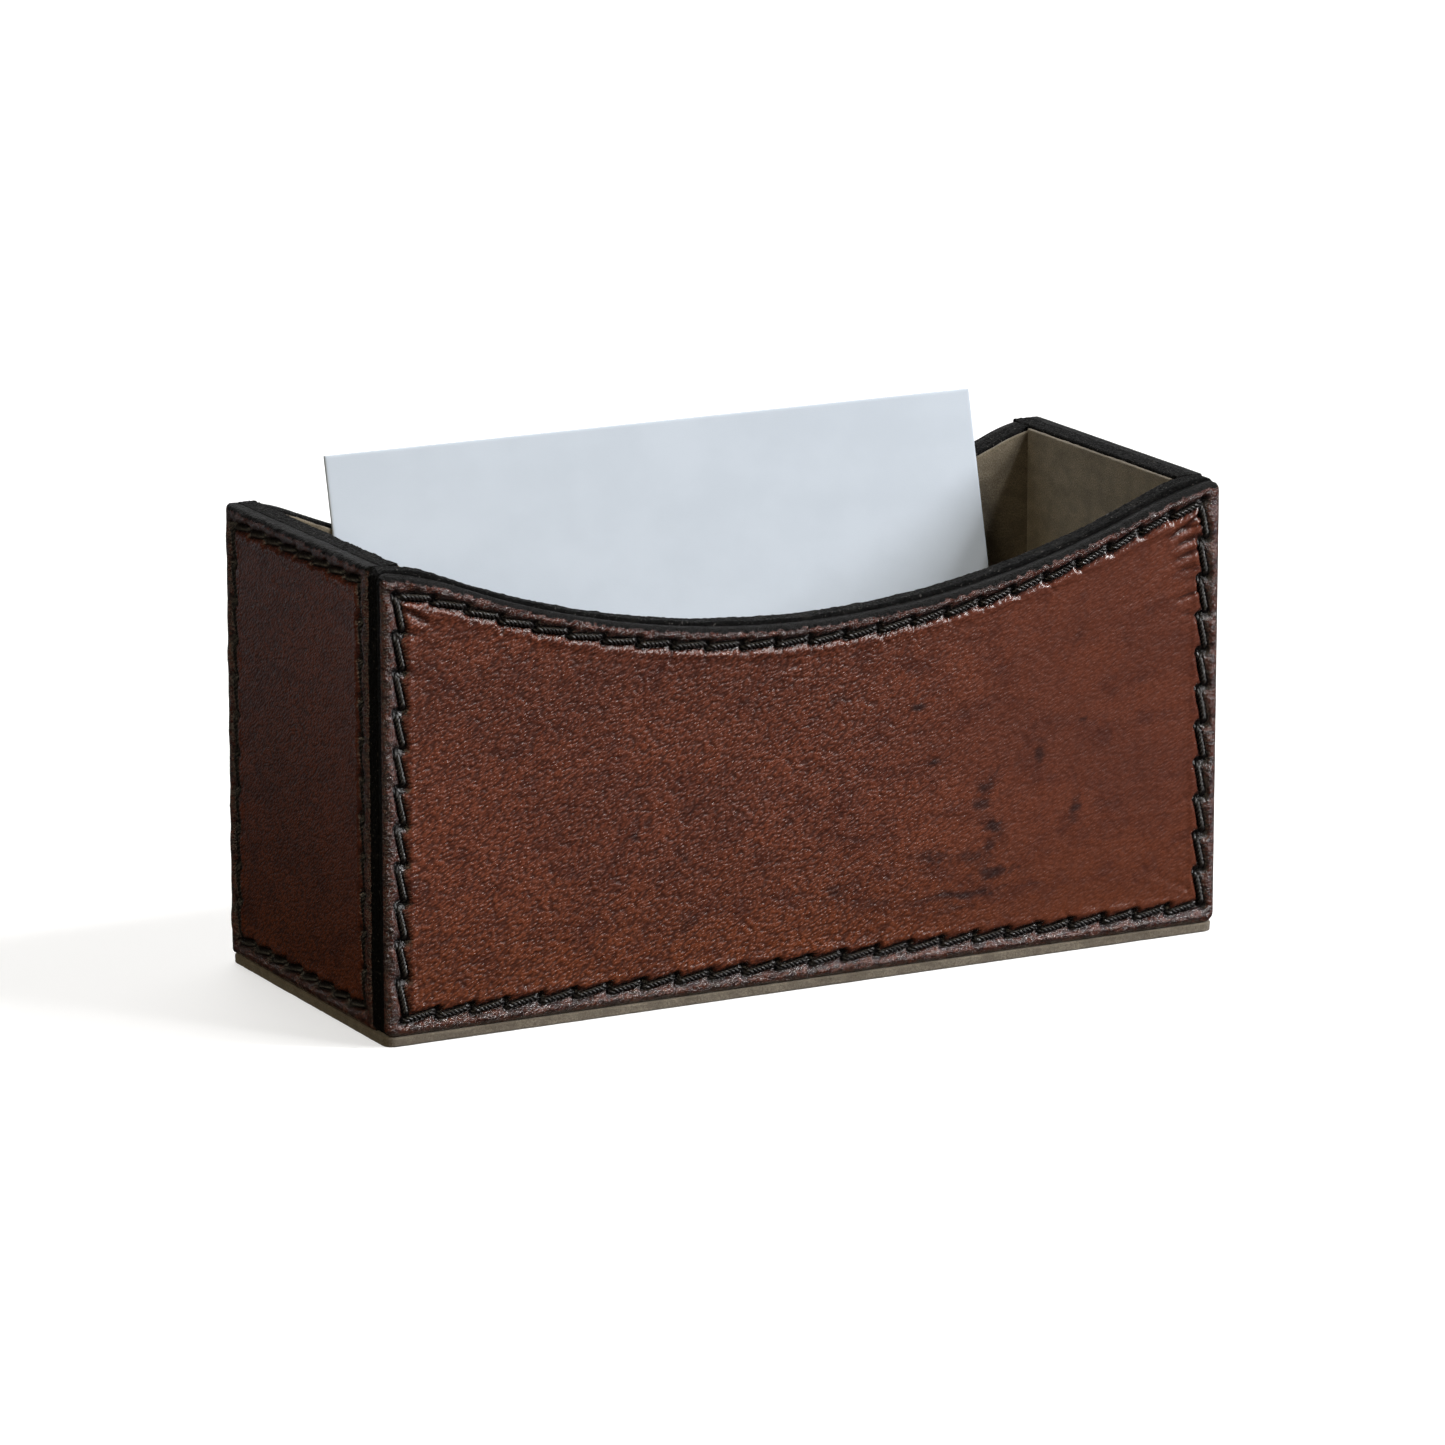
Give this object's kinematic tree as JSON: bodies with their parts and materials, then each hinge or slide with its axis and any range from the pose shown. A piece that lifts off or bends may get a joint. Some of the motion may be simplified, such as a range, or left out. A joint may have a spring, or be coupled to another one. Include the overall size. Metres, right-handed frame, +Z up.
{
  "type": "business card holder",
  "caption": "Open-topped desk holder for business cards: a box of stitched leather panels with scooped front and back rims, lined with suede, and a card leaning inside.",
  "frame": {"origin": "centre of the footprint, on the surface that the base pad rests on", "axes": "+X to the right across the width, +Y to the rear, +Z up; the scooped front panel faces -Y"},
  "size_m": [0.108, 0.0418, 0.0593],
  "materials": {
    "leather": "hand-stained, pebbled grain, waxed to a soft sheen, darker towards the edges",
    "dyed_board": "stiff fibre board with its raw edges dyed black, dull and slightly fibrous",
    "suede_lining": "tan suede with a short matt nap",
    "suede_pad": "taupe suede, matt",
    "thread": "thick waxed twisted thread, black",
    "card_stock": "uncoated smooth white card, blank"
  },
  "bodies": {
    "holder": {"base_pad": "suede_pad", "floor_board": "dyed_board", "floor_lining": "suede_lining", "front_board": "dyed_board", "back_board": "dyed_board", "left_board": "dyed_board", "right_board": "dyed_board", "front_leather": "leather", "back_leather": "leather", "left_leather": "leather", "right_leather": "leather", "front_lining": "suede_lining", "back_lining": "suede_lining", "left_lining": "suede_lining", "right_lining": "suede_lining", "front_stitching": "thread", "back_stitching": "thread", "left_stitching": "thread", "right_stitching": "thread"},
    "card": {"business_card": "card_stock"}
  },
  "joints": [
    {"name": "card_lift", "type": "slide", "parent": "holder", "child": "card", "axis": [0, 0.2419, 0.9703], "range_m": [0, 0.06]}
  ]
}
